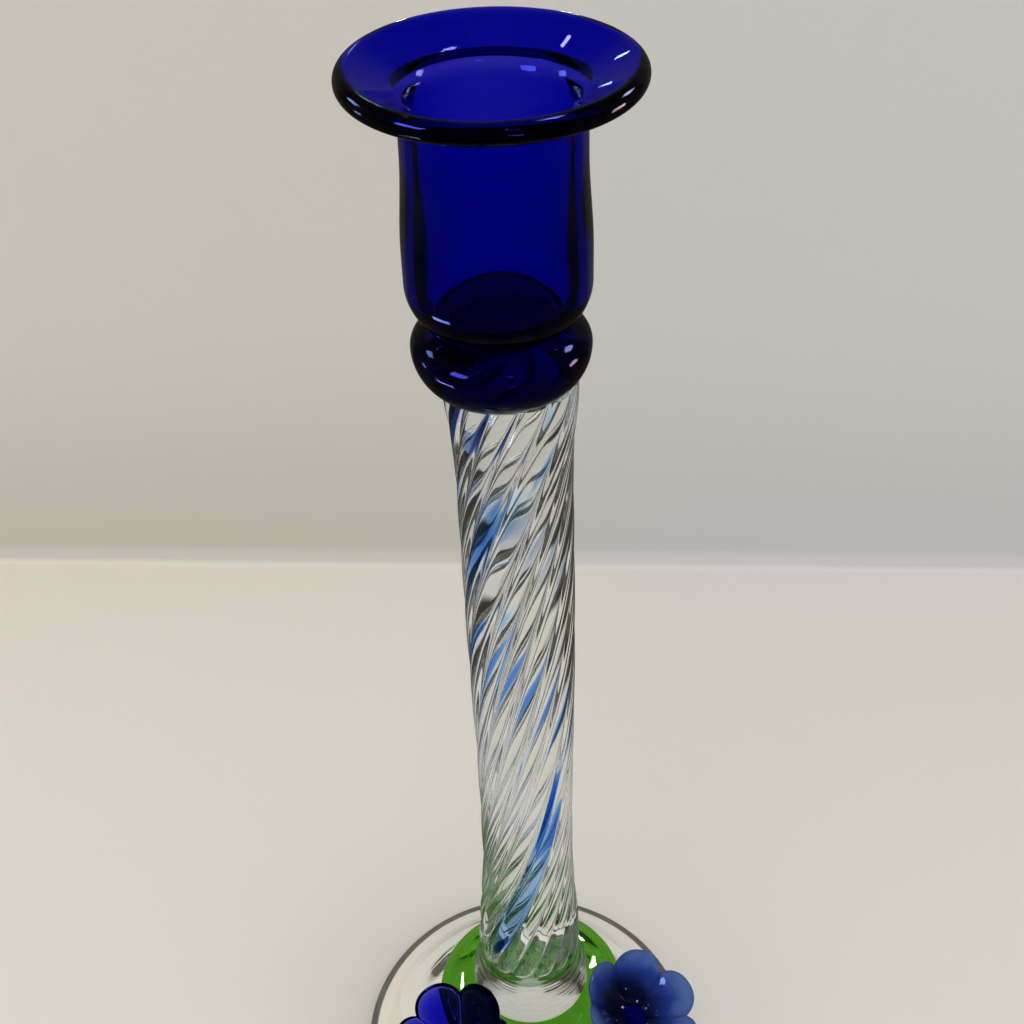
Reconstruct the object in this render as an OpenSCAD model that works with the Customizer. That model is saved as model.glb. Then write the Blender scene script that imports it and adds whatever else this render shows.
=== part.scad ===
// Glass candlestick: a flared cup on a ball knop, a twisted clear stem with blue
// canes inside, and a clear domed foot that carries a green pad and two flowers.
// Origin: centre of the foot on the table. +Z is up, and the flowers are on the -Y side.

/* [Foot] */
// Radius of the foot over its rounded edge
foot_r = 41.2; // [38:0.2:46]
// Height of the seat on top of the dome
foot_top_z = 18; // [15:0.5:22]
// Thickness of the domed glass
foot_wall = 3.8; // [3:0.1:5]
// Radius of the rounded edge
foot_edge_r = 1.7; // [1.4:0.1:2]

/* [Pad and collar] */
// Radius of the green pad
pad_r = 23.1; // [21.5:0.1:24]
// Thickness of the green pad
pad_t = 5.4; // [4:0.1:7]
// Largest radius of the clear collar
collar_r = 14.2; // [13.6:0.1:15]
// Height of the collar's top face, where the stem starts
stem_z0 = 41.5; // [38:0.5:46]

/* [Stem] */
// Number of twisted ribs round the stem
rib_count = 14; // [10:2:18]
// Depth of the creases between the ribs
rib_h = 1; // [0.4:0.1:1.2]
// Rise of the ribs in one full turn
twist_lead = 222; // [180:6:300]
// How far the colour inside is twisted beyond the ribs, in degrees over the whole stem
inner_twist = 270; // [180:30:330]
// Radius of the stem at its waist, over the rib crests
waist_r = 10.4; // [9.8:0.1:11.5]
// Radius of the stem at its lower end
stem_foot_r = 12.3; // [11.5:0.1:12.8]
// Radius of the stem under the knop
stem_head_r = 12.4; // [11.5:0.1:12.8]
// Sideways set of the hand-joined stem, collar and pad
stem_shift = 1.4; // [0:0.1:2]
// Extra sideways bow at the middle of the stem
stem_bow = 0.4; // [0:0.1:1]
// Radius of the clear core rod
core_r = 7.4; // [6.5:0.1:8]
// Depth of the blue canes in the core
cane_depth = 1.7; // [1:0.1:2.5]

/* [Knop and cup] */
// Radius of the knop
knop_r = 16.2; // [15:0.1:18]
// Radius of the candle bore: a 22 mm taper drops in freely
bore_r = 12.3; // [11.8:0.1:12.6]
// Radius of the cup round its bowl
cup_r = 16.1; // [15.8:0.1:17]
// Radius of the cup under the brim
neck_r = 15.3; // [15:0.1:15.7]
// Radius of the brim over its rolled edge
brim_r = 24.8; // [23:0.1:28]
// Radius of the rolled edge
brim_edge_r = 1.85; // [1.6:0.05:2.2]
// Overall height of the candlestick
top_z = 264; // [262:0.5:268]

/* [Flowers] */
// Length of a petal from the flower's axis to its tip
petal_r = 14.6; // [13:0.2:15]
// Half-width of a petal at its widest
petal_w = 5.9; // [5:0.1:6]
// Thickness of a petal
petal_t = 4; // [3:0.1:4.2]
// Rise of a petal's tip above its root
petal_rise = 7; // [5.6:0.2:8]
// Lean of each flower away from the stem
flower_tilt = 20; // [15:1:25]
// Height of each flower's root above the table
flower_z = 24.4; // [24.2:0.1:26]

/* [Hidden] */
$fn = 96;

// Heights of the seams up the axis
pad_top_z = foot_top_z + pad_t;
stem_z1 = 205.9;
cup_seat_z = 217.5;
bore_floor_z = 221.5;

// Foot: the ground ring it stands on, and the edge above it
ground_r0 = 35.6;
ground_r1 = foot_r - foot_edge_r;
edge_z = foot_edge_r + 0.2;
dome_seat_r = 17;
cavity_r = ground_r0 - 1.2;
cavity_z = 0.8;
dome_steps = 14;

// Collar: height and depth of its belly
belly_z = 28.4;
belly_depth = 4.4;

// Stem: sections, flares at both ends, and the swell between them
rib_points = 4;
stem_points = rib_count * rib_points;
core_points = stem_points / 2;
stem_slices = 40;
twist_sway = 10;
extra_steps = round(inner_twist * core_points / 360);
flare_foot = 48;
flare_head = 26;
mid_swell = 0.7;
rib_belly = 0.22;
cane_count = 4;
cane_steps = 3;
cane_start = 5;
groove_taper = 0.15;

// Knop: height of its widest ring, and its bulge out, down and up from there
knop_z = 213.2;
knop_bulge = 7.2;
knop_down = 7.9;
knop_up = 4.5;

// Cup: bowl under the wall, and the brim at the top
bowl_z = 226;
bowl_bulge = 10.5;
bowl_drop = 9.8;
belt_z = 232;
neck_z = 249;
under_fillet = 1.2;
under_z = top_z - 5.8;
under_flat_r = 17.3;
mouth_fillet = 6.5;
mouth_z = top_z - 2.5;
floor_fillet = 3.5;

// Flowers: distance from the axis, direction, and turn of the first petal
left_flower = [25.2, -131.4, 2];
right_flower = [29.1, -25.2, -5];
petal_count = 6;
petal_rings = 9;
petal_sides = 12;
petal_belly_x = 9.8;
petal_curl = 1.4;
heart_flat_r = 3.2;
heart_up = 1.5;
heart_down = 1.7;
stub_len = 18;
stub_foot_r = 6;

// Points along an elliptical arc about c, with radii r, from angle a0 to angle a1
function arc(c, r, a0, a1, n = 8) =
    [for (i = [0:n]) let (a = a0 + (a1 - a0) * i / n) [c[0] + r[0] * cos(a), c[1] + r[1] * sin(a)]];

// Smooth step from 0 to 1
function ease(t) = let (u = min(max(t, 0), 1)) u * u * (3 - 2 * u);

// A quarter ellipse that falls from 1 at t = 0 to 0 at t = 1
function dome(t) = sqrt(max(0, 1 - t * t));

// ---- Foot, pad and collar ----

// Height of the dome's curve, from 1 at its seat (t = 0) to 0 at its edge (t = 1)
function dome_curve(t) = 0.6 * (1 - pow(t, 1.6)) + 0.2 * (1 + cos(180 * t));

// Points down a dome from its flat top to its edge
function dome_line(r0, z0, r1, z1) =
    [for (i = [0:dome_steps]) let (t = i / dome_steps)
        [r0 + (r1 - r0) * t, z1 + (z0 - z1) * dome_curve(t)]];

module dome_blank() {
    edge_arc = arc([ground_r1, edge_z], [foot_edge_r, edge_z], 80, -60, 8);
    rotate_extrude()
        polygon(concat(
            [[0, 0], [0, foot_top_z]],
            dome_line(dome_seat_r, foot_top_z, edge_arc[0][0], edge_arc[0][1]),
            [for (i = [1:len(edge_arc) - 1]) edge_arc[i]],
            [[ground_r1, 0]]
        ));
}

module foot_cavity() {
    roof_z = foot_top_z - foot_wall;
    rotate_extrude()
        polygon(concat(
            [[0, -1], [0, roof_z]],
            dome_line(dome_seat_r - foot_wall / 2, roof_z, cavity_r, cavity_z),
            [[ground_r0 + 1, -1]]
        ));
}

module foot() {
    color("azure", 0.35)
        difference() {
            dome_blank();
            foot_cavity();
        }
}

module pad_solid() {
    edge = 2.2;
    translate([stem_shift, 0, foot_top_z])
        rotate_extrude()
            polygon(concat(
                [[0, 0]],
                arc([pad_r - edge, pad_t / 2], [edge, pad_t / 2], -90, 90, 12),
                [[0, pad_t]]
            ));
}

module green_pad() {
    color("forestgreen", 0.8) pad_solid();
}

module stem_collar() {
    shoulder = 8;
    color("azure", 0.4)
        translate([stem_shift, 0, 0])
            rotate_extrude()
                polygon(concat(
                    [[0, pad_top_z], [collar_r - 2.6, pad_top_z]],
                    arc([collar_r - belly_depth, belly_z], [belly_depth, belly_z - pad_top_z],
                        -50, 0, 6),
                    arc([collar_r - shoulder, belly_z], [shoulder, stem_z0 - belly_z], 5, 40, 6),
                    [[stem_foot_r - 0.3, stem_z0], [0, stem_z0]]
                ));
}

// ---- Twisted stem ----

// Height of slice i, and the stem's crest radius and sideways set at height z
function slice_z(i) = stem_z0 + (stem_z1 - stem_z0) * i / stem_slices;
function crest_r(z) =
    waist_r
    + mid_swell * ease((z - 90) / 60)
    + (stem_foot_r - waist_r) * pow(1 - ease((z - stem_z0) / flare_foot), 2)
    + (stem_head_r - waist_r - mid_swell) * pow(1 - ease((stem_z1 - z) / flare_head), 2);
function stem_rise(z) = (z - stem_z0) / (stem_z1 - stem_z0);
function stem_x(z) = stem_shift + stem_bow * sin(180 * stem_rise(z));

// Twist at height z of the ribs, which sways a little, and of the colour inside
function rib_turn(z) = 360 * (z - stem_z0) / twist_lead + twist_sway * sin(360 * stem_rise(z));
function core_turn(z) = rib_turn(z) + extra_steps * core_step * stem_rise(z);

// How far the surface drops below the crests at direction a: broad ribs with a slight belly
// that meet in narrow creases
function rib_drop(a) =
    let (side = abs(sin(rib_count * a / 2)))
    rib_h * (rib_belly * pow(side, 2) + (1 - rib_belly) * pow(side, 12));

// The point at height z, radius r and direction turn
function stem_point(z, r, turn) = [stem_x(z) + r * cos(turn), r * sin(turn), z];

// Side faces between rings of n points, counted from point first. From step turned on,
// each pair of triangles is split along its other diagonal.
function wall_faces(n, rings, first = 0, turned = 1e6) =
    [for (j = [0:rings - 2], k = [0:n - 1])
        let (a = first + j * n + k, b = first + j * n + (k + 1) % n)
        each k < turned ? [[a, a + n, b + n], [a, b + n, b]] : [[a, a + n, b], [b, a + n, b + n]]];

// The same faces seen from inside
function inner_faces(n, rings, first = 0) =
    [for (f = wall_faces(n, rings, first)) [f[2], f[1], f[0]]];

// Mean of a ring's points
function middle(ring) = [for (p = ring) 1 / len(ring)] * ring;

// Closed solid through a list of rings, each a flat loop of n points
module sweep(rings, turned = 1e6) {
    n = len(rings[0]);
    last = (len(rings) - 1) * n;
    low = last + n;
    polyhedron(
        points = concat(
            [for (ring = rings) each ring],
            [middle(rings[0]), middle(rings[len(rings) - 1])]
        ),
        faces = concat(
            wall_faces(n, len(rings), 0, turned),
            [for (k = [0:n - 1]) [k, (k + 1) % n, low]],
            [for (k = [0:n - 1]) [last + (k + 1) % n, last + k, low + 1]]
        )
    );
}

// Directions on the core's surface, and the steps of each cane's sector
core_step = 360 / core_points;
sector_steps = core_points / cane_count;

// Points across a groove's floor, which is a little narrower than its mouth
function groove_floor(z, first) =
    [for (k = [0:cane_steps])
        let (inset = k == 0 ? groove_taper : k == cane_steps ? -groove_taper : 0)
        stem_point(z, core_r - cane_depth, core_turn(z) + (first + k + inset) * core_step)];

// Points round the core's full radius, from step k0 to step k1 of a sector
function core_arc(z, first, k0, k1) =
    [for (k = [k0:k1]) stem_point(z, core_r, core_turn(z) + (first + k) * core_step)];

// One sector of the core's outline: into a groove, along its floor, out, and round
function core_sector(z, first) = concat(
    core_arc(z, first, 0, 0),
    groove_floor(z, first),
    core_arc(z, first, cane_steps, sector_steps - 1)
);

// A cane fills its groove: round outside, floor inside
function cane_ring(z, first) =
    let (floor_line = groove_floor(z, first))
    concat(core_arc(z, first, 0, cane_steps), [for (k = [cane_steps:-1:0]) floor_line[k]]);

module stem_core() {
    color("azure", 0.3)
        sweep([for (i = [0:stem_slices])
            [for (c = [0:cane_count - 1]) each core_sector(slice_z(i), cane_start + c * sector_steps)]]);
}

module blue_cane(index) {
    first = cane_start + (index - 1) * sector_steps;
    color("royalblue")
        sweep([for (i = [0:stem_slices]) cane_ring(slice_z(i), first)], cane_steps);
}

// Faces between the ribbed outline and the bore of the casing at one end, where the bore
// has run ahead of the outline by a number of steps
function casing_end(outer, inner, ahead) =
    [for (k = [0:core_points - 1])
        let (b0 = (k - ahead + core_points) % core_points, b1 = (b0 + 1) % core_points,
             i0 = inner + b0, i1 = inner + b1,
             o0 = outer + 2 * k, o1 = o0 + 1, o2 = outer + (2 * k + 2) % stem_points)
        each [[i0, o0, o1], [i0, o1, i1], [i1, o1, o2]]];

module stem_casing() {
    rings = stem_slices + 1;
    outline = [for (i = [0:stem_slices], k = [0:stem_points - 1])
        let (z = slice_z(i), a = k * 360 / stem_points)
        stem_point(z, crest_r(z) - rib_drop(a), rib_turn(z) + a)];
    bore = [for (i = [0:stem_slices], k = [0:core_points - 1])
        stem_point(slice_z(i), core_r, core_turn(slice_z(i)) + k * core_step)];
    bore_first = len(outline);
    top_end = casing_end(stem_slices * stem_points, bore_first + stem_slices * core_points, extra_steps);
    color("azure", 0.3)
        polyhedron(
            points = concat(outline, bore),
            faces = concat(
                wall_faces(stem_points, rings),
                inner_faces(core_points, rings, bore_first),
                casing_end(0, bore_first, 0),
                [for (f = top_end) [f[2], f[1], f[0]]]
            )
        );
}

// ---- Knop and cup ----

module knop() {
    color("midnightblue", 0.95)
        rotate_extrude()
            polygon(concat(
                [[0, stem_z1]],
                arc([knop_r - knop_bulge, knop_z], [knop_bulge, knop_down],
                    -asin((knop_z - stem_z1) / knop_down), 0, 10),
                arc([knop_r - knop_bulge, knop_z], [knop_bulge, knop_up],
                    10, asin((cup_seat_z - knop_z) / knop_up), 8),
                [[0, cup_seat_z]]
            ));
}

module candle_cup() {
    wall_steps = 8;
    under_c = [neck_r + under_fillet, under_z - under_fillet];
    edge_c = [brim_r - brim_edge_r, top_z - brim_edge_r];
    mouth_c = [bore_r + mouth_fillet, mouth_z - mouth_fillet];
    floor_c = [bore_r - floor_fillet, bore_floor_z + floor_fillet];
    color("navy", 0.85)
        rotate_extrude()
            polygon(concat(
                [[0, cup_seat_z]],
                arc([cup_r - bowl_bulge, bowl_z], [bowl_bulge, bowl_drop],
                    -asin((bowl_z - cup_seat_z) / bowl_drop), 0, 12),
                [for (i = [0:wall_steps]) let (t = i / wall_steps)
                    [cup_r - (cup_r - neck_r) * ease(t), belt_z + (neck_z - belt_z) * t]],
                arc(under_c, [under_fillet, under_fillet], 180, 90, 8),
                [[under_flat_r, under_z]],
                arc(edge_c, [brim_edge_r, brim_edge_r], -70, 116, 14),
                arc(mouth_c, [mouth_fillet, mouth_fillet], 116, 180, 10),
                arc(floor_c, [floor_fillet, floor_fillet], 0, -90, 8),
                [[0, bore_floor_z]]
            ));
}

// ---- Flowers ----

// Puts a flower's own frame in place: +Z out of its throat, +X away from the stem
module in_flower(flower) {
    translate([flower[0] * cos(flower[1]), flower[0] * sin(flower[1]), flower_z])
        rotate([0, 0, flower[1]])
            rotate([0, flower_tilt, 0])
                rotate([0, 0, flower[2]])
                    children();
}

// Half-width of a petal at x, kept inside its share of the circle
function petal_half_w(x) =
    min(x * tan(29), petal_w * dome(max(0, x - petal_belly_x) / (petal_r - petal_belly_x)));

// Flat loop of points round a petal at x: thick in the middle, curled up at the sides
function petal_ring(x) =
    let (
        t = (x - heart_flat_r) / (petal_r - heart_flat_r),
        w = petal_half_w(x),
        thick = petal_t * (0.8 + 0.2 * ease(2 * t)) * dome(max(0, t - 0.6) / 0.4),
        mid_z = petal_rise * pow(t, 1.7)
    )
    [for (k = [0:petal_sides - 1]) let (a = 360 * k / petal_sides, y = w * cos(a))
        [x, y, mid_z + petal_curl * t * pow(y / petal_w, 2) + thick / 2 * sin(a)]];

module petal(flower, index) {
    in_flower(flower)
        rotate([0, 0, (index - 1) * 360 / petal_count])
            sweep([for (i = [0:petal_rings])
                petal_ring(heart_flat_r + (petal_r - heart_flat_r) * sin(85 * i / petal_rings))]);
}

// Six-sided button that the petals close on, on a stub that reaches the dome and the pad
module flower_heart(flower) {
    difference() {
        in_flower(flower)
            union() {
                translate([0, 0, -heart_down])
                    rotate([0, 0, 30])
                        cylinder(h = heart_down + heart_up, r = heart_flat_r / cos(30), $fn = 6);
                translate([0, 0, -stub_len])
                    cylinder(h = stub_len - heart_down, r1 = stub_foot_r, r2 = heart_flat_r);
            }
        dome_blank();
        pad_solid();
    }
}

module left_flower_heart() {
    color("mediumblue") flower_heart(left_flower);
}

module left_petal(index) {
    color("mediumblue") petal(left_flower, index);
}

module right_flower_heart() {
    color("midnightblue") flower_heart(right_flower);
}

module right_petal(index) {
    color("cornflowerblue") petal(right_flower, index);
}

foot();
green_pad();
stem_collar();
stem_core();
stem_casing();
blue_cane(1);  // blue_cane_1
blue_cane(2);  // blue_cane_2
blue_cane(3);  // blue_cane_3
blue_cane(4);  // blue_cane_4
knop();
candle_cup();
left_flower_heart();
left_petal(1);  // left_petal_1
left_petal(2);  // left_petal_2
left_petal(3);  // left_petal_3
left_petal(4);  // left_petal_4
left_petal(5);  // left_petal_5
left_petal(6);  // left_petal_6
right_flower_heart();
right_petal(1);  // right_petal_1
right_petal(2);  // right_petal_2
right_petal(3);  // right_petal_3
right_petal(4);  // right_petal_4
right_petal(5);  // right_petal_5
right_petal(6);  // right_petal_6
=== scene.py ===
"""Glass candlestick: cobalt cup and knop, twisted clear stem with blue streaks, clear foot and
green pad, two glass flowers."""
import math

import bpy
import numpy as np
from mathutils import Matrix, Vector


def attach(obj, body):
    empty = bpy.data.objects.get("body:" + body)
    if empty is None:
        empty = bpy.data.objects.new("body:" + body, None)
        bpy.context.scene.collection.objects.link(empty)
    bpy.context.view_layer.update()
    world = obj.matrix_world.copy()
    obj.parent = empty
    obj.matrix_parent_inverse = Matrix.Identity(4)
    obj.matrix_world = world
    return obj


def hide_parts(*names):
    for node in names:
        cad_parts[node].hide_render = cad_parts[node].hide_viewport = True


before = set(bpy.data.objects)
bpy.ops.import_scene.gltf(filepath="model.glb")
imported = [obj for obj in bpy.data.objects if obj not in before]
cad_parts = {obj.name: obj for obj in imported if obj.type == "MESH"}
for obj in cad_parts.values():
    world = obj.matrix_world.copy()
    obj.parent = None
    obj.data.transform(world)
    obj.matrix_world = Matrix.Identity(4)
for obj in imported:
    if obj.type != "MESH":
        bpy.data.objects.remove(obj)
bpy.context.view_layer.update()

MM = 0.001
scene = bpy.context.scene

# ---------------------------------------------------------------- shared sizes, in millimetres
SIDES = 256
FUSE = 0.15  # how far two fused pieces of glass reach into each other

STEM_SHIFT = 1.4
STEM_BOW = 0.4
STEM_Z0 = 41.5
STEM_Z1 = 205.9
STEM_FOOT_R = 12.3
STEM_HEAD_R = 12.4
WAIST_R = 10.4
MID_SWELL = 0.7
FLARE_FOOT = 48
FLARE_HEAD = 26
RIB_COUNT = 14
RIB_H = 1.0  # depth of the creases between the ribs
RIB_BELLY = 0.22  # share of that depth that rounds the whole rib
TWIST_LEAD = 222
STREAK_EXTRA_TWIST = 270
STREAK_SHARE = 0.6  # how far out in the stem the streaks lie
TWIST_SWAY = 10  # degrees by which the twist runs ahead near the foot and lags near the head
STEM_LIP = 1.3  # how far up the stem's rounded lower edge reaches

FOOT_TOP_Z = 18
FOOT_WALL = 3.8
FOOT_EDGE_R = 1.7
GROUND_R0 = 35.6
GROUND_R1 = 39.5
DOME_SEAT_R = 17
PAD_R = 23.1
PAD_T = 5.4
PAD_TOP_Z = FOOT_TOP_Z + PAD_T
COLLAR_R = 14.2
BELLY_Z = 28.4
PAD_GAP = 0.03  # air under the collar, which makes its flat underside show
COLLAR_RING = 0.045  # height of the shallow rings on the collar's shoulder
EDGE_Z = 1.9  # height of the foot's rounded edge
EDGE_END = 80  # direction in degrees in which that edge meets the dome

KNOP_R = 16.2
KNOP_Z = 213.2
KNOP_BULGE = 7.2
KNOP_DOWN = 7.9
KNOP_UP = 4.5
CUP_SEAT_Z = 217.5
BOWL_Z = 226
BOWL_BULGE = 10.5
BOWL_DROP = 9.8
BELT_Z = 232
NECK_Z = 249
BORE_R = 12.3
BORE_FLOOR_Z = 221.5
CUP_R = 16.1
NECK_R = 15.3
BRIM_R = 24.8
BRIM_EDGE_R = 1.85
TOP_Z = 264
MOUTH_Z = TOP_Z - 2.5
UNDER_Z = TOP_Z - 5.8

PETALS = 6  # in each flower
FLOWER_Z = 24.4
FLOWER_TILT = 20
PETAL_R = 14.6
PETAL_W = 5.9
PETAL_T = 4.0
PETAL_RISE = 7.0
PETAL_CURL = 1.4
PETAL_BELLY_X = 9.8
HEART_R = 3.2
HEART_LOW = -1.9  # where the flower's stub starts, in the flower's own frame
STUB_LEN = 18
STUB_FOOT_R = 6
# Each flower: distance from the axis, then direction and turn in degrees
LEFT_FLOWER = (25.2, -131.4, 2)
RIGHT_FLOWER = (29.1, -25.2, -5)


# ---------------------------------------------------------------- small helpers
def ease(t):
    """Smooth step from 0 to 1."""
    u = np.clip(t, 0, 1)
    return u * u * (3 - 2 * u)


def dome(t):
    """A quarter circle that falls from 1 at t = 0 to 0 at t = 1."""
    return math.sqrt(max(0.0, 1 - t * t))


def arc(centre, radii, start, end, steps):
    """Points along an elliptical arc, in degrees."""
    points = []
    for i in range(steps + 1):
        a = math.radians(start + (end - start) * i / steps)
        points.append((centre[0] + radii[0] * math.cos(a), centre[1] + radii[1] * math.sin(a)))
    return points


def line(start, end, steps):
    """Points between start and end, without the two ends."""
    return [
        (start[0] + (end[0] - start[0]) * i / steps, start[1] + (end[1] - start[1]) * i / steps)
        for i in range(1, steps)
    ]


def rings_mesh(rings, first_pole, last_pole):
    """Points and faces of a closed skin through rings of points, closed by a fan at each end."""
    rings = np.asarray(rings, float)
    count, sides = rings.shape[:2]
    points = [tuple(p) for p in rings.reshape(-1, 3)]
    points += [tuple(first_pole), tuple(last_pole)]
    low = count * sides
    faces = []
    for j in range(count - 1):
        for k in range(sides):
            a = j * sides + k
            b = j * sides + (k + 1) % sides
            faces.append((a, b, b + sides, a + sides))
    last = (count - 1) * sides
    for k in range(sides):
        following = (k + 1) % sides
        faces.append((low, following, k))
        faces.append((low + 1, last + k, last + following))
    return points, faces


def fix_winding(points, faces):
    """Turns the faces round if the closed skin has them inside out."""
    p = np.array(points)
    volume = 0.0
    for f in faces:
        for i in range(1, len(f) - 1):
            volume += np.dot(p[f[0]], np.cross(p[f[i]], p[f[i + 1]]))
    return faces if volume > 0 else [tuple(reversed(f)) for f in faces]


def add_piece(name, points, faces, material, nodes, sharp=None):
    """Makes a smooth piece from points in millimetres that stands for the named CAD nodes."""
    mesh = bpy.data.meshes.new(name)
    mesh.from_pydata([tuple(c * MM for c in p) for p in points], [], faces)
    mesh.shade_smooth()
    if sharp is not None:
        mesh.set_sharp_from_angle(angle=math.radians(sharp))
    mesh.materials.append(material)
    piece = bpy.data.objects.new(name, mesh)
    scene.collection.objects.link(piece)
    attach(piece, "root")
    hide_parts(*nodes)
    return piece


def lathe(profile, wobble, seed, centre_x=0.0):
    """A turned skin. The profile starts and ends on the axis, and wobble makes it uneven."""
    angles = np.arange(SIDES) * 2 * math.pi / SIDES
    rings = []
    for r, z in profile[1:-1]:
        uneven = wobble * (
            np.sin(2 * angles + seed + z * 0.05) + 0.6 * np.sin(3 * angles + 2.1 * seed - z * 0.09)
        )
        radius = r + uneven * min(1.0, r / 8)
        x = centre_x + radius * np.cos(angles)
        rings.append(np.stack([x, radius * np.sin(angles), np.full(SIDES, z)], 1))
    return rings_mesh(rings, (centre_x, 0, profile[0][1]), (centre_x, 0, profile[-1][1]))


# ---------------------------------------------------------------- materials
def glass(name, absorb, density, ior=1.5, ripple=0.02, specular_tint=(1, 1, 1)):
    """Clear or coloured glass: faint colour cloud, surface ripples and an absorbing volume."""
    material = bpy.data.materials.new(name)
    material.use_nodes = True
    nodes = material.node_tree.nodes
    links = material.node_tree.links
    shader = nodes["Principled BSDF"]
    shader.inputs["Transmission Weight"].default_value = 1.0
    shader.inputs["Roughness"].default_value = 0.0
    shader.inputs["IOR"].default_value = ior
    shader.inputs["Specular Tint"].default_value = (*specular_tint, 1)

    coords = nodes.new("ShaderNodeTexCoord")
    cloud = nodes.new("ShaderNodeTexNoise")
    cloud.inputs["Scale"].default_value = 60.0
    cloud.inputs["Detail"].default_value = 3.0
    links.new(coords.outputs["Object"], cloud.inputs["Vector"])
    mix = nodes.new("ShaderNodeMix")
    mix.data_type = "RGBA"
    mix.inputs[6].default_value = (1, 1, 1, 1)
    mix.inputs[7].default_value = (0.985, 0.99, 0.985, 1)
    links.new(cloud.outputs["Fac"], mix.inputs[0])
    links.new(mix.outputs[2], shader.inputs["Base Color"])

    if ripple > 0:
        waves = nodes.new("ShaderNodeTexNoise")
        waves.inputs["Scale"].default_value = 90.0
        waves.inputs["Detail"].default_value = 2.0
        links.new(coords.outputs["Object"], waves.inputs["Vector"])
        bump = nodes.new("ShaderNodeBump")
        bump.inputs["Strength"].default_value = ripple
        bump.inputs["Distance"].default_value = 0.002
        links.new(waves.outputs["Fac"], bump.inputs["Height"])
        links.new(bump.outputs["Normal"], shader.inputs["Normal"])

    volume = nodes.new("ShaderNodeVolumeAbsorption")
    volume.inputs["Color"].default_value = (*absorb, 1)
    volume.inputs["Density"].default_value = density
    links.new(volume.outputs["Volume"], nodes["Material Output"].inputs["Volume"])
    return material


clear_glass = glass("clear_glass", (0.75, 0.9, 0.8), 6.0)
green_glass = glass("green_glass", (0.36, 0.72, 0.0), 640.0, specular_tint=(0.7, 1, 0.6))
cobalt_glass = glass("cobalt_glass", (0.0, 0.0, 0.885), 1500.0, specular_tint=(0.12, 0.12, 0.9))
streak_glass = glass("streak_glass", (0.0, 0.42, 0.86), 1500.0, ior=1.0, ripple=0.0)
deep_streak_glass = glass("deep_streak_glass", (0.25, 0.42, 0.72), 1500.0, ior=1.0, ripple=0.0)


def milky(name, throat, belly, reach, absorb, density, clear):
    """Half-clear glass whose colour runs from a deep throat out to paler tips."""
    material = glass(name, absorb, density, specular_tint=(0.5, 0.6, 1))
    nodes = material.node_tree.nodes
    links = material.node_tree.links
    shader = nodes["Principled BSDF"]
    shader.inputs["Transmission Weight"].default_value = clear
    coords = next(n for n in nodes if n.type == "TEX_COORD")
    away = nodes.new("ShaderNodeVectorMath")
    away.operation = "DISTANCE"
    away.inputs[1].default_value = throat
    links.new(coords.outputs["Object"], away.inputs[0])
    cloud = nodes.new("ShaderNodeTexNoise")
    cloud.inputs["Scale"].default_value = 260.0
    links.new(coords.outputs["Object"], cloud.inputs["Vector"])
    uneven = nodes.new("ShaderNodeMath")
    uneven.operation = "MULTIPLY_ADD"
    uneven.inputs[1].default_value = 0.004
    links.new(cloud.outputs["Fac"], uneven.inputs[0])
    links.new(away.outputs["Value"], uneven.inputs[2])
    span = nodes.new("ShaderNodeMapRange")
    span.interpolation_type = "SMOOTHSTEP"
    span.inputs["From Min"].default_value = belly
    span.inputs["From Max"].default_value = reach
    links.new(uneven.outputs[0], span.inputs["Value"])
    ramp = nodes.new("ShaderNodeValToRGB")
    ramp.color_ramp.elements[0].color = (0.002, 0.002, 0.02, 1)
    ramp.color_ramp.elements[1].color = (0.12, 0.2, 0.5, 1)
    middle = ramp.color_ramp.elements.new(0.5)
    middle.color = (0.02, 0.05, 0.3, 1)
    links.new(span.outputs["Result"], ramp.inputs["Fac"])
    links.new(ramp.outputs["Color"], shader.inputs["Base Color"])
    return material


periwinkle_glass = milky(
    "periwinkle_glass",
    throat=(0.0255, -0.012, 0.028),
    belly=0.007,
    reach=0.0175,
    absorb=(0.3, 0.5, 0.93),
    density=260.0,
    clear=0.55,
)


# ---------------------------------------------------------------- foot, pad and collar
def dome_curve(t):
    """Height of the foot's curve, from 1 at its seat (t = 0) to 0 at its edge (t = 1)."""
    return 0.6 * (1 - t ** 1.6) + 0.2 * (1 + math.cos(math.pi * t))


def dome_line(r0, z0, r1, z1, steps):
    """Points down the foot's curve, from its flat top to its edge."""
    return [
        (r0 + (r1 - r0) * i / steps, z1 + (z0 - z1) * dome_curve(i / steps))
        for i in range(steps + 1)
    ]


def dome_height(r):
    """Height of the foot's outside at radius r."""
    edge_r = GROUND_R1 + FOOT_EDGE_R * math.cos(math.radians(EDGE_END))
    edge_z = EDGE_Z * (1 + math.sin(math.radians(EDGE_END)))
    if r <= DOME_SEAT_R:
        return FOOT_TOP_Z
    if r >= edge_r:
        return 0.0
    return edge_z + (FOOT_TOP_Z - edge_z) * dome_curve((r - DOME_SEAT_R) / (edge_r - DOME_SEAT_R))


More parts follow.
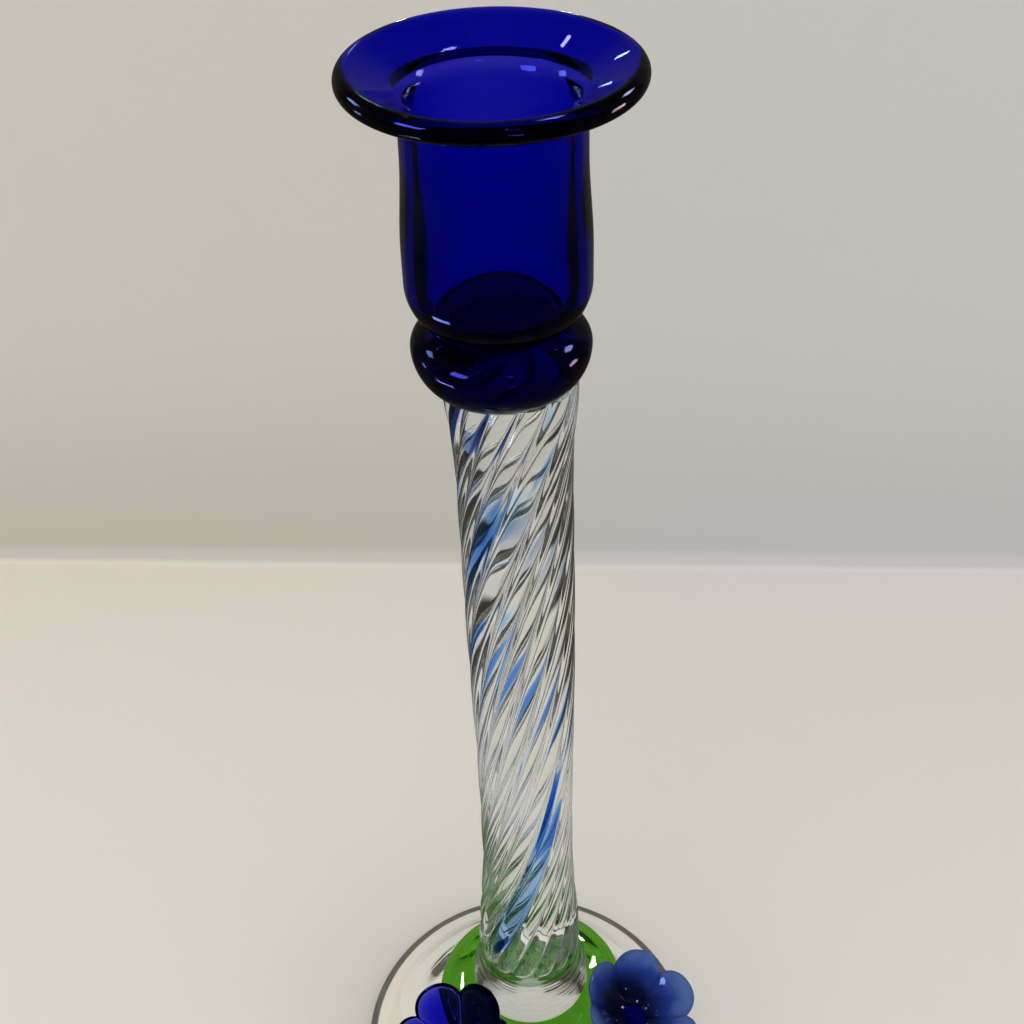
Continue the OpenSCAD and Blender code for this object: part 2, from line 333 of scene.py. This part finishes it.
def make_foot():
    roof_z = FOOT_TOP_Z - FOOT_WALL
    edge = arc((GROUND_R1, EDGE_Z), (FOOT_EDGE_R, EDGE_Z), -60, EDGE_END, 30)
    inside = dome_line(DOME_SEAT_R - FOOT_WALL / 2, roof_z, GROUND_R0 - 1.2, 0.8, 48)
    outside = dome_line(DOME_SEAT_R, FOOT_TOP_Z, *edge[-1], 48)
    profile = [(0, roof_z)] + line((0, roof_z), inside[0], 6) + inside
    profile += [(GROUND_R0 - 0.3, 0.25), (GROUND_R0 + 0.3, 0.0)]
    profile += line((GROUND_R0 + 0.3, 0), (GROUND_R1 - 0.6, 0), 3) + [(GROUND_R1 - 0.2, 0.02)]
    profile += edge + outside[::-1][1:] + line(outside[0], (0, FOOT_TOP_Z), 6) + [(0, FOOT_TOP_Z)]
    points, faces = lathe(profile, wobble=0.12, seed=1.3)
    add_piece("foot_glass", points, faces, clear_glass, ["foot"], sharp=60)


def make_pad():
    edge = 2.2
    bottom = FOOT_TOP_Z - FUSE
    profile = [(0, bottom)] + line((0, bottom), (PAD_R - edge, bottom), 6)
    profile += arc((PAD_R - edge, FOOT_TOP_Z + PAD_T / 2), (edge, PAD_T / 2), -90, 90, 36)
    profile += line((PAD_R - edge, PAD_TOP_Z), (0, PAD_TOP_Z), 6) + [(0, PAD_TOP_Z)]
    points, faces = lathe(profile, centre_x=STEM_SHIFT, wobble=0.15, seed=4.0)
    add_piece("green_pad_glass", points, faces, green_glass, ["green_pad"], sharp=60)


def make_collar():
    bottom = PAD_TOP_Z + PAD_GAP
    flat_r = COLLAR_R - 2.6
    belly = 4.4
    shoulder_in = 8
    top = STEM_Z0 + FUSE
    top_r = 10.9
    profile = [(0, bottom)] + line((0, bottom), (flat_r, bottom), 4) + [(flat_r, bottom)]
    profile += arc((COLLAR_R - belly, BELLY_Z), (belly, BELLY_Z - PAD_TOP_Z), -50, 0, 24)
    centre = (COLLAR_R - shoulder_in, BELLY_Z)
    shoulder = arc(centre, (shoulder_in, STEM_Z0 - BELLY_Z), 2, 62, 110)
    profile += [(r + COLLAR_RING * math.sin(3.2 * z), z) for r, z in shoulder]
    profile += line(profile[-1], (top_r, top), 6) + [(top_r, top)]
    profile += line((top_r, top), (0, top), 4) + [(0, top)]
    points, faces = lathe(profile, centre_x=STEM_SHIFT, wobble=0.1, seed=2.2)
    nodes = ["stem_collar"]
    add_piece("stem_collar_glass", points, faces, clear_glass, nodes, sharp=40)


# ---------------------------------------------------------------- stem
def crest_r(z):
    """Radius of the stem over its rib crests."""
    return (
        WAIST_R
        + MID_SWELL * ease((z - 90) / 60)
        + (STEM_FOOT_R - WAIST_R) * (1 - ease((z - STEM_Z0) / FLARE_FOOT)) ** 2
        + (STEM_HEAD_R - WAIST_R - MID_SWELL) * (1 - ease((STEM_Z1 - z) / FLARE_HEAD)) ** 2
    )


def stem_x(z):
    """Sideways set of the stem, with its slight bow."""
    return STEM_SHIFT + STEM_BOW * math.sin(math.pi * (z - STEM_Z0) / (STEM_Z1 - STEM_Z0))


def stem_turn(z):
    """Twist at height z, in radians."""
    rise = (z - STEM_Z0) / (STEM_Z1 - STEM_Z0)
    sway = math.radians(TWIST_SWAY) * math.sin(2 * math.pi * rise)
    return 2 * math.pi * (z - STEM_Z0) / TWIST_LEAD + sway


def rib_steps():
    """Directions round the stem, closer together in the creases between the ribs."""
    half = 10
    rib = 2 * math.pi / RIB_COUNT
    within = [0.5 * rib * (1 - (1 - i / half) ** 1.7) for i in range(half)]
    within = within + [rib - a for a in within[:0:-1]] + [0.5 * rib]
    return np.array([k * rib + a for k in range(RIB_COUNT) for a in sorted(within)])


def make_stem():
    """Core and casing in one piece: the ribs have a slightly uneven depth and spacing."""
    slices = 250
    bottom = STEM_Z0 - FUSE
    heights = [bottom + (STEM_Z1 + FUSE - bottom) * (i / slices) for i in range(slices + 1)]
    heights = sorted(heights + [bottom + STEM_LIP * t for t in (0.02, 0.08, 0.2, 0.4)])
    angles = rib_steps()
    rings = []
    for z in heights:
        warp = 0.05 * np.sin(3 * angles + 1 + z / 60) + 0.03 * np.sin(5 * angles + 2)
        uneven = 0.18 * np.sin(2 * angles + z / 35) + 0.12 * np.sin(5 * angles - z / 28)
        across = np.abs(np.sin(RIB_COUNT * angles / 2))
        belly = RIB_BELLY * (0.85 - 0.2 * ease((z - 130) / 60))
        drop = belly * across ** 2 + (1 - RIB_BELLY) * across ** 12
        radius = crest_r(z) - RIB_H * (1 + uneven) * drop
        below_lip = STEM_LIP - (z - bottom)
        if below_lip > 0:
            radius = radius - (STEM_LIP - math.sqrt(STEM_LIP ** 2 - below_lip ** 2)) * 0.8
        turned = angles + warp + stem_turn(z)
        x = stem_x(z) + radius * np.cos(turned)
        rings.append(np.stack([x, radius * np.sin(turned), np.full(len(angles), z)], 1))
    low_pole = (stem_x(bottom), 0, bottom)
    points, faces = rings_mesh(rings, low_pole, (stem_x(STEM_Z1), 0, heights[-1]))
    nodes = ["stem_core", "stem_casing"]
    add_piece("stem_glass", points, faces, clear_glass, nodes, sharp=45)


def streak_turn(z):
    """The colour inside is twisted further than the ribs outside."""
    return stem_turn(z) + math.radians(STREAK_EXTRA_TWIST) * (z - STEM_Z0) / (STEM_Z1 - STEM_Z0)


# Each streak's ribbons: direction in degrees at its lower and upper end, before the twist, then
# half-width in degrees, thickness, and lowest and highest z
STREAKS = [
    [
        (192, 160, 22, 0.8, 44, 86),
        (158, 150, 13, 2.0, 72, 108),
        (208, 128, 9, 1.4, 100, 154),
        (158, 165, 4, 0.6, 148, 166),
        (166, 158, 15, 1.3, 158, 190),
        (176, 182, 14, 0.35, 168, 188),
        (185, 190, 3.5, 0.9, 180, 205),
    ],
    [(254, 250, 4, 0.9, 126, 160)],
    [(60, 10, 14, 0.6, 152, 188), (24, -14, 12, 4.5, 188, 206), (200, 200, 11, 3.5, 43.5, 64)],
    [(74, 74, 3, 0.5, 150, 190)],
]


def ribbon_rings(low_direction, high_direction, half_width, thickness, low, high):
    """A lens-shaped ribbon of colour that follows the inner twist and thins out at both ends."""
    slices = max(24, int((high - low) * 1.2))
    across = 12
    rings = []
    for i in range(slices + 1):
        rise = i / slices
        z = low + (high - low) * rise
        end = max(0.04, math.sin(math.pi * rise) ** 0.6)
        direction = low_direction + (high_direction - low_direction) * rise
        wide = half_width * end * (1 + 0.2 * math.sin(z / 5 + low_direction))
        thick = thickness * end
        ring = []
        for k in range(2 * across):
            a = math.pi * (k + 0.5) / across
            u = math.cos(a)
            r = STREAK_SHARE * crest_r(z) + 0.5 * thick * math.sin(a)
            turn = math.radians(direction + u * wide) + streak_turn(z)
            ring.append((stem_x(z) + r * math.cos(turn), r * math.sin(turn), z))
        rings.append(ring)
    return np.array(rings)


def make_streak(index, ribbons, material):
    """One piece that holds the ribbons of one streak."""
    points = []
    faces = []
    for ribbon in ribbons:
        rings = ribbon_rings(*ribbon)
        ribbon_points, ribbon_faces = rings_mesh(rings, rings[0].mean(0), rings[-1].mean(0))
        ribbon_faces = fix_winding(ribbon_points, ribbon_faces)
        faces += [tuple(v + len(points) for v in f) for f in ribbon_faces]
        points += ribbon_points
    nodes = [f"blue_cane_{index}"]
    add_piece(f"blue_streak_{index}", points, faces, material, nodes)


# ---------------------------------------------------------------- knop and cup
def make_knop():
    bottom = STEM_Z1 - FUSE
    centre = (KNOP_R - KNOP_BULGE, KNOP_Z)
    low_end = -math.degrees(math.asin((KNOP_Z - STEM_Z1) / KNOP_DOWN))
    high_end = math.degrees(math.asin((CUP_SEAT_Z - KNOP_Z) / KNOP_UP))
    lower = arc(centre, (KNOP_BULGE, KNOP_DOWN), low_end, 0, 36)
    upper = arc(centre, (KNOP_BULGE, KNOP_UP), 4, high_end, 30)
    profile = [(0, bottom)] + line((0, bottom), (lower[0][0] - 0.2, bottom), 4)
    profile += lower + upper
    profile += line(upper[-1], (0, CUP_SEAT_Z + FUSE), 4) + [(0, CUP_SEAT_Z + FUSE)]
    points, faces = lathe(profile, wobble=0.15, seed=0.4)
    add_piece("knop_glass", points, faces, cobalt_glass, ["knop"], sharp=50)


def make_cup():
    mouth = 6.5
    under = 1.2
    floor = 3.5
    wall_steps = 24
    bowl_end = -math.degrees(math.asin((BOWL_Z - CUP_SEAT_Z) / BOWL_DROP))
    profile = [(0, CUP_SEAT_Z)]
    profile += arc((CUP_R - BOWL_BULGE, BOWL_Z), (BOWL_BULGE, BOWL_DROP), bowl_end, 0, 40)
    for i in range(1, wall_steps + 1):
        t = i / wall_steps
        wall_r = CUP_R - (CUP_R - NECK_R) * float(ease(t))
        profile.append((wall_r, BELT_Z + (NECK_Z - BELT_Z) * t))
    profile += arc((NECK_R + under, UNDER_Z - under), (under, under), 180, 90, 20)
    profile += [(17.9, UNDER_Z), (18.3, UNDER_Z + 0.1)]
    edge = (BRIM_R - BRIM_EDGE_R, TOP_Z - BRIM_EDGE_R)
    profile += arc(edge, (BRIM_EDGE_R, BRIM_EDGE_R), -70, 116, 40)
    profile += arc((BORE_R + mouth, MOUTH_Z - mouth), (mouth, mouth), 116, 180, 36)
    profile += line((BORE_R, MOUTH_Z - mouth), (BORE_R, BORE_FLOOR_Z + floor), 14)
    profile += arc((BORE_R - floor, BORE_FLOOR_Z + floor), (floor, floor), 0, -90, 20)
    profile += line((BORE_R - floor, BORE_FLOOR_Z), (0, BORE_FLOOR_Z), 4) + [(0, BORE_FLOOR_Z)]
    points, faces = lathe(profile, wobble=0.12, seed=3.1)
    nodes = ["candle_cup"]
    add_piece("candle_cup_glass", points, faces, cobalt_glass, nodes, sharp=50)


# ---------------------------------------------------------------- flowers
def flower_matrix(flower):
    """Puts a flower's own frame in place: +Z out of its throat, +X away from the stem."""
    distance, azimuth, turn = flower
    a = math.radians(azimuth)
    return (
        Matrix.Translation((distance * math.cos(a), distance * math.sin(a), FLOWER_Z))
        @ Matrix.Rotation(a, 4, "Z")
        @ Matrix.Rotation(math.radians(FLOWER_TILT), 4, "Y")
        @ Matrix.Rotation(math.radians(turn), 4, "Z")
    )


def seat_height(x, y):
    """Height of the glass that a flower stands on: the pad's top, or the dome outside it."""
    if math.hypot(x - STEM_SHIFT, y) < PAD_R - 0.8:
        return PAD_TOP_Z - 0.6
    return dome_height(math.hypot(x, y))


def make_petal(side, index, flower, material):
    rings_count = 40
    sides = 48
    spin = Matrix.Rotation(math.radians((index - 1) * 360 / PETALS), 4, "Z")
    place = flower_matrix(flower) @ spin
    spread = math.tan(math.radians(32))  # half-width of the petal near its root, per length
    rings = []
    root = HEART_R - 0.4
    for i in range(rings_count):
        x = root + (PETAL_R - root) * math.sin(math.radians(88.5) * (i + 0.3) / rings_count)
        t = max(0.0, (x - HEART_R) / (PETAL_R - HEART_R))
        width = min(x * spread, PETAL_W + 0.3)
        width *= dome(max(0, x - PETAL_BELLY_X) / (PETAL_R - PETAL_BELLY_X))
        thick = PETAL_T * (0.8 + 0.2 * float(ease(2 * t))) * dome(max(0, t - 0.6) / 0.4)
        mid_z = PETAL_RISE * t ** 1.7
        ring = []
        for k in range(sides):
            a = 2 * math.pi * k / sides
            y = width * math.copysign(abs(math.cos(a)) ** 0.8, math.cos(a))
            lift = thick / 2 * math.copysign(abs(math.sin(a)) ** 0.8, math.sin(a))
            z = mid_z + PETAL_CURL * t * (y / PETAL_W) ** 2 + lift
            ring.append(tuple(place @ Vector((x, y, z))))
        rings.append(ring)
    tip = place @ Vector((PETAL_R, 0, PETAL_RISE))
    points, faces = rings_mesh(rings, np.array(rings[0]).mean(0), tip)
    faces = fix_winding(points, faces)
    nodes = [f"{side}_petal_{index}"]
    add_piece(f"{side}_petal_glass_{index}", points, faces, material, nodes)


def make_heart(side, flower, material):
    sides = 64
    place = flower_matrix(flower)
    stub_len = STUB_LEN - 2
    profile = arc((0, -0.2), (HEART_R + 0.1, 1.9), 88, 0, 14)
    profile += [(HEART_R + 0.1, -1.2), (HEART_R, HEART_LOW)]
    rings = []
    directions = [2 * math.pi * k / sides for k in range(sides)]
    for r, z in profile:
        ring = [place @ Vector((r * math.cos(a), r * math.sin(a), z)) for a in directions]
        rings.append([tuple(p) for p in ring])
    # The stub runs down along its own flare until each of its lines meets the glass below
    reach = []
    for a in directions:
        length = 0.0
        while length < stub_len:
            r = HEART_R + (STUB_FOOT_R - HEART_R) * length / stub_len
            p = place @ Vector((r * math.cos(a), r * math.sin(a), HEART_LOW - length))
            if p.z < seat_height(p.x, p.y) - FUSE:
                break
            length += 0.05
        reach.append(length)
    steps = 12
    for step in range(1, steps + 1):
        ring = []
        for a, full_length in zip(directions, reach):
            length = full_length * step / steps
            r = HEART_R + (STUB_FOOT_R - HEART_R) * (length / stub_len) ** 1.3
            p = place @ Vector((r * math.cos(a), r * math.sin(a), HEART_LOW - length))
            ring.append(tuple(p))
        rings.append(ring)
    low = np.array(rings[-1]).mean(0)
    points, faces = rings_mesh(rings, place @ Vector((0, 0, 1.7)), low)
    faces = fix_winding(points, faces)
    nodes = [f"{side}_flower_heart"]
    add_piece(f"{side}_heart_glass", points, faces, material, nodes, sharp=50)


make_foot()
make_pad()
make_collar()
make_stem()
streak_glasses = [streak_glass, streak_glass, deep_streak_glass, streak_glass]
for number, ribbons in enumerate(STREAKS, start=1):
    make_streak(number, ribbons, streak_glasses[number - 1])
make_knop()
make_cup()
make_heart("left", LEFT_FLOWER, cobalt_glass)
make_heart("right", RIGHT_FLOWER, cobalt_glass)
for petal in range(1, PETALS + 1):
    make_petal("left", petal, LEFT_FLOWER, cobalt_glass)
    make_petal("right", petal, RIGHT_FLOWER, periwinkle_glass)


# ---------------------------------------------------------------- table and wall in one bent sheet
def sheet_mesh():
    """Table and wall with a small bend between them. Sizes in metres."""
    wall_y = 0.1936
    bend = 0.006
    bend_steps = 12
    floor_z = -0.00015
    reach = 2.2
    slant = 0.074  # the wall comes nearer towards +X
    rows = [(-reach, floor_z), (wall_y - bend, floor_z)]
    for i in range(1, bend_steps + 1):
        a = math.radians(90 * i / bend_steps)
        rows.append((wall_y - bend + bend * math.sin(a), floor_z + bend - bend * math.cos(a)))
    rows.append((wall_y, 0.9))
    points = [(-reach, -reach, floor_z), (reach, -reach, floor_z)]
    for y, z in rows[1:]:
        points += [(-reach, y + slant * reach, z), (reach, y - slant * reach, z)]
    faces = [(2 * i, 2 * i + 1, 2 * i + 3, 2 * i + 2) for i in range(len(rows) - 1)]
    mesh = bpy.data.meshes.new("backdrop")
    mesh.from_pydata(points, [], faces)
    mesh.shade_smooth()
    return mesh


def sheet_material():
    """Table and wall colours with painted light and shade, and what they look like in the glass.
    Sizes in metres.
    """
    mirrored_colour = (0.09, 0.085, 0.075)
    dim_colour = (0.045, 0.038, 0.028)
    rim_shade_colour = (0.24, 0.225, 0.195)
    # Painted shade: a dark ring on the table just past the foot's edge, shown only through the
    # glass
    ring_start = 0.0382  # near the outside of the foot's ground ring
    ring_full = 0.0388
    rim_end = 0.043
    material = bpy.data.materials.new("backdrop")
    material.use_nodes = True
    nodes = material.node_tree.nodes
    links = material.node_tree.links
    nodes.clear()
    out = nodes.new("ShaderNodeOutputMaterial")
    coords = nodes.new("ShaderNodeTexCoord")
    split = nodes.new("ShaderNodeSeparateXYZ")
    links.new(coords.outputs["Object"], split.inputs["Vector"])

    def math_node(operation, a, b):
        node = nodes.new("ShaderNodeMath")
        node.operation = operation
        for slot, value in enumerate((a, b)):
            if isinstance(value, (int, float)):
                node.inputs[slot].default_value = value
            else:
                links.new(value, node.inputs[slot])
        return node.outputs[0]

    def ramp(value, low, high):
        node = nodes.new("ShaderNodeMapRange")
        node.interpolation_type = "SMOOTHSTEP"
        node.inputs["From Min"].default_value = low
        node.inputs["From Max"].default_value = high
        links.new(value, node.inputs["Value"])
        return node.outputs["Result"]

    def mix(factor, a, b):
        node = nodes.new("ShaderNodeMix")
        node.data_type = "RGBA"
        links.new(factor, node.inputs[0])
        for slot, value in ((6, a), (7, b)):
            if isinstance(value, tuple):
                node.inputs[slot].default_value = (*value, 1)
            else:
                links.new(value, node.inputs[slot])
        return node.outputs[2]

    # Painted light and shade: the table and wall are lighter and warmer to the left, and the wall
    # is darker towards the bottom by the table
    across = ramp(split.outputs["X"], -0.06, 0.06)
    table = mix(across, (0.74, 0.708, 0.652), (0.69, 0.672, 0.645))
    wall = mix(across, (0.60, 0.585, 0.55), (0.58, 0.575, 0.56))
    shaded_low_wall = mix(across, (0.54, 0.52, 0.465), (0.535, 0.53, 0.53))
    wall = mix(ramp(split.outputs["Z"], 0.0, 0.11), shaded_low_wall, wall)
    base = mix(ramp(split.outputs["Z"], -0.00014, 0.0012), table, wall)

    x_squared = math_node("MULTIPLY", split.outputs["X"], split.outputs["X"])
    y_squared = math_node("MULTIPLY", split.outputs["Y"], split.outputs["Y"])
    distance = math_node("SQRT", math_node("ADD", x_squared, y_squared), 0)

    # Painted shade: in reflections and through the glass, the sheet is painted dim beyond the
    # table and the low wall, standing in for a dim room: to the sides, high up, and on the
    # camera's side
    side = math_node("ABSOLUTE", split.outputs["X"], 0)
    above = math_node("MULTIPLY", ramp(split.outputs["Z"], 0.34, 0.40), ramp(side, 0.04, 0.07))
    widening = math_node("MULTIPLY", ramp(split.outputs["Z"], 0.05, 0.10), 0.14)
    outside = math_node("MAXIMUM", ramp(math_node("SUBTRACT", side, widening), 0.08, 0.11), above)
    near = math_node("MULTIPLY", split.outputs["Y"], -1)
    outside = math_node("MAXIMUM", outside, ramp(near, 0.09, 0.12))
    dim = math_node("MULTIPLY", outside, math_node("SUBTRACT", 1, ramp(distance, 0.50, 0.60)))
    path = nodes.new("ShaderNodeLightPath")
    through = path.outputs["Is Transmission Ray"]
    seen_in_glass = math_node(
        "MULTIPLY",
        math_node("SUBTRACT", 1, path.outputs["Is Camera Ray"]),
        math_node("SUBTRACT", 1, path.outputs["Is Diffuse Ray"]),
    )
    # Painted reflection: mirrored in the glass, the table and wall show a darker colour
    mirrored = math_node("MULTIPLY", seen_in_glass, math_node("SUBTRACT", 1, through))
    colour = mix(mirrored, base, mirrored_colour)
    # Painted shade of the dim room, shown only in the glass
    colour = mix(math_node("MULTIPLY", dim, seen_in_glass), colour, dim_colour)
    # Painted shade ring around the foot's edge, shown only through the glass
    past_ring = ramp(distance, ring_start, ring_full)
    rim_shade = math_node("MULTIPLY", past_ring, math_node("LESS_THAN", distance, rim_end))
    colour = mix(math_node("MULTIPLY", rim_shade, through), colour, rim_shade_colour)
    diffuse = nodes.new("ShaderNodeBsdfDiffuse")
    links.new(colour, diffuse.inputs["Color"])

    # Painted light: seen through the glass, the table under the foot glows with its own lit
    # colour, which hides the foot's shade on it
    glowing_lit_table = nodes.new("ShaderNodeEmission")
    links.new(mix(across, (0.70, 0.65, 0.56), (0.65, 0.62, 0.57)), glowing_lit_table.inputs["Color"])
    glowing_lit_table.inputs["Strength"].default_value = 1.06
    under_foot = math_node("MULTIPLY", math_node("SUBTRACT", 1, past_ring), through)
    first_look = math_node("LESS_THAN", path.outputs["Diffuse Depth"], 0.5)
    table_look = nodes.new("ShaderNodeMixShader")
    links.new(math_node("MULTIPLY", under_foot, first_look), table_look.inputs[0])
    links.new(diffuse.outputs[0], table_look.inputs[1])
    links.new(glowing_lit_table.outputs[0], table_look.inputs[2])

    # The sheet cannot be seen from its back
    clear = nodes.new("ShaderNodeBsdfTransparent")
    geometry = nodes.new("ShaderNodeNewGeometry")
    one_sided = nodes.new("ShaderNodeMixShader")
    links.new(geometry.outputs["Backfacing"], one_sided.inputs[0])
    links.new(table_look.outputs[0], one_sided.inputs[1])
    links.new(clear.outputs[0], one_sided.inputs[2])
    links.new(one_sided.outputs[0], out.inputs["Surface"])
    return material


def make_stage():
    mesh = sheet_mesh()
    mesh.materials.append(sheet_material())
    sheet = bpy.data.objects.new("backdrop", mesh)
    scene.collection.objects.link(sheet)


def make_world():
    world = bpy.data.worlds.new("studio")
    scene.world = world
    world.use_nodes = True
    world.cycles.sampling_method = "NONE"
    nodes = world.node_tree.nodes
    links = world.node_tree.links
    nodes.clear()
    out = nodes.new("ShaderNodeOutputWorld")
    coords = nodes.new("ShaderNodeTexCoord")

    def background(colour):
        node = nodes.new("ShaderNodeBackground")
        if isinstance(colour, tuple):
            node.inputs["Color"].default_value = (*colour, 1)
        else:
            links.new(colour, node.inputs["Color"])
        return node.outputs[0]

    def choose(factor, a, b):
        node = nodes.new("ShaderNodeMixShader")
        links.new(factor, node.inputs[0])
        links.new(a, node.inputs[1])
        links.new(b, node.inputs[2])
        return node.outputs[0]

    # Soft light for the table and the wall, brighter from the upper right
    sun = nodes.new("ShaderNodeVectorMath")
    sun.operation = "DOT_PRODUCT"
    sun.inputs[1].default_value = Vector((0.75, -0.15, 0.65)).normalized()
    links.new(coords.outputs["Generated"], sun.inputs[0])
    glow = nodes.new("ShaderNodeMapRange")
    glow.inputs["From Min"].default_value = 0.3
    glow.inputs["From Max"].default_value = 1.0
    links.new(sun.outputs["Value"], glow.inputs["Value"])
    soft = nodes.new("ShaderNodeMix")
    soft.data_type = "RGBA"
    soft.inputs[6].default_value = (0.86, 0.86, 0.86, 1)
    soft.inputs[7].default_value = (1.9, 1.85, 1.75, 1)
    links.new(glow.outputs["Result"], soft.inputs[0])

    # What the glass itself reflects and shows: a dim room
    split = nodes.new("ShaderNodeSeparateXYZ")
    links.new(coords.outputs["Generated"], split.inputs["Vector"])
    up = nodes.new("ShaderNodeMapRange")
    up.inputs["From Min"].default_value = 0.0
    up.inputs["From Max"].default_value = 0.9
    links.new(split.outputs["Z"], up.inputs["Value"])
    room = nodes.new("ShaderNodeMix")
    room.data_type = "RGBA"
    room.inputs[6].default_value = (0.10, 0.09, 0.072, 1)
    room.inputs[7].default_value = (0.16, 0.15, 0.135, 1)
    links.new(up.outputs["Result"], room.inputs[0])

    # What is seen through several skins of glass gets a little more light
    path = nodes.new("ShaderNodeLightPath")
    under_foot = nodes.new("ShaderNodeMapRange")
    under_foot.inputs["From Min"].default_value = 3.0
    under_foot.inputs["From Max"].default_value = 4.0
    under_foot.inputs["To Min"].default_value = 1.0
    under_foot.inputs["To Max"].default_value = 1.35
    links.new(path.outputs["Transmission Depth"], under_foot.inputs["Value"])
    lit = nodes.new("ShaderNodeMath")
    lit.operation = "GREATER_THAN"
    lit.inputs[1].default_value = 0.5
    links.new(path.outputs["Diffuse Depth"], lit.inputs[0])
    mirrored = background((0.05, 0.048, 0.044))
    in_glass = choose(path.outputs["Is Transmission Ray"], mirrored, background(room.outputs[2]))
    seen = choose(path.outputs["Is Camera Ray"], in_glass, background((0.62, 0.60, 0.55)))
    lamp_light = background(soft.outputs[2])
    links.new(under_foot.outputs["Result"], lamp_light.node.inputs["Strength"])
    links.new(choose(lit.outputs[0], seen, lamp_light), out.inputs["Surface"])


WHITE = (1.0, 0.97, 0.92)
BLUISH = (0.5, 0.68, 1.0)
WARM = (1.0, 0.62, 0.4)
# Windows and lamps seen only as highlights on the glass: place, width, height, colour, strength
LAMPS = [
    ((-0.09, 0.18, 0.50), 0.010, 0.008, WHITE, 20),
    ((-0.18, -0.1, 0.365), 0.085, 0.06, BLUISH, 16),
    ((0.041, -0.15, 0.443), 0.035, 0.02, BLUISH, 8),
    ((-0.202, 0.102, 0.348), 0.05, 0.04, BLUISH, 9),
    ((0.187, 0.103, 0.377), 0.045, 0.045, WHITE, 12),
    ((-0.032, 0.179, 0.34), 0.006, 0.005, BLUISH, 16),
    ((-0.45, 0.12, 0.18), 0.06, 0.03, BLUISH, 14),
    ((0.053, 0.059, 0.441), 0.025, 0.025, WHITE, 25),
    ((0.262, 0.011, 0.237), 0.06, 0.055, WARM, 20),
    ((-0.078, -0.027, 0.174), 0.034, 0.012, BLUISH, 14),
    ((0.061, -0.255, 0.259), 0.06, 0.02, BLUISH, 8),
    ((-0.0295, 0.1765, 0.2795), 0.004, 0.008, WHITE, 60),
    ((0.0258, 0.174, 0.245), 0.004, 0.006, WHITE, 60),
    ((0.0296, 0.172, 0.263), 0.003, 0.005, WHITE, 40),
]


def make_lamp(index, place, wide, tall, colour, strength):
    data = bpy.data.lights.new(f"lamp_{index}", "AREA")
    data.shape = "RECTANGLE"
    data.size = wide
    data.size_y = tall
    data.color = colour
    data.energy = strength * wide * tall * math.pi
    lamp = bpy.data.objects.new(f"lamp_{index}", data)
    lamp.location = place
    aim = Vector((0, 0, 0.15)) - Vector(place)
    lamp.rotation_euler = aim.to_track_quat("-Z", "Y").to_euler()
    lamp.visible_diffuse = False
    lamp.visible_camera = False
    lamp.visible_transmission = False
    scene.collection.objects.link(lamp)


make_stage()
make_world()
for number, lamp in enumerate(LAMPS, start=1):
    make_lamp(number, *lamp)


# ---------------------------------------------------------------- camera
def make_camera():
    place = (0, -0.2249, 0.3527)
    tilt = math.radians(38.309)
    roll = math.radians(-2.056)
    yaw = math.radians(0.214)
    level_reach = math.cos(tilt)
    ahead = Vector((math.sin(yaw) * level_reach, math.cos(yaw) * level_reach, -math.sin(tilt)))
    level = Vector((math.cos(yaw), -math.sin(yaw), 0))
    above = level.cross(ahead)
    right = math.cos(roll) * level + math.sin(roll) * above
    up = -math.sin(roll) * level + math.cos(roll) * above
    data = bpy.data.cameras.new("camera")
    data.sensor_width = 36
    data.lens = 52.734375
    data.clip_start = 0.01
    camera = bpy.data.objects.new("camera", data)
    turn = Matrix((right, up, -ahead)).transposed().to_4x4()
    camera.matrix_world = Matrix.Translation(place) @ turn
    scene.collection.objects.link(camera)
    scene.camera = camera


make_camera()
scene.view_settings.view_transform = "Standard"
scene.view_settings.look = "None"
scene.cycles.use_denoising = True
scene.cycles.max_bounces = 40
scene.cycles.transmission_bounces = 40
scene.cycles.glossy_bounces = 24
scene.cycles.diffuse_bounces = 3
scene.cycles.transparent_max_bounces = 16
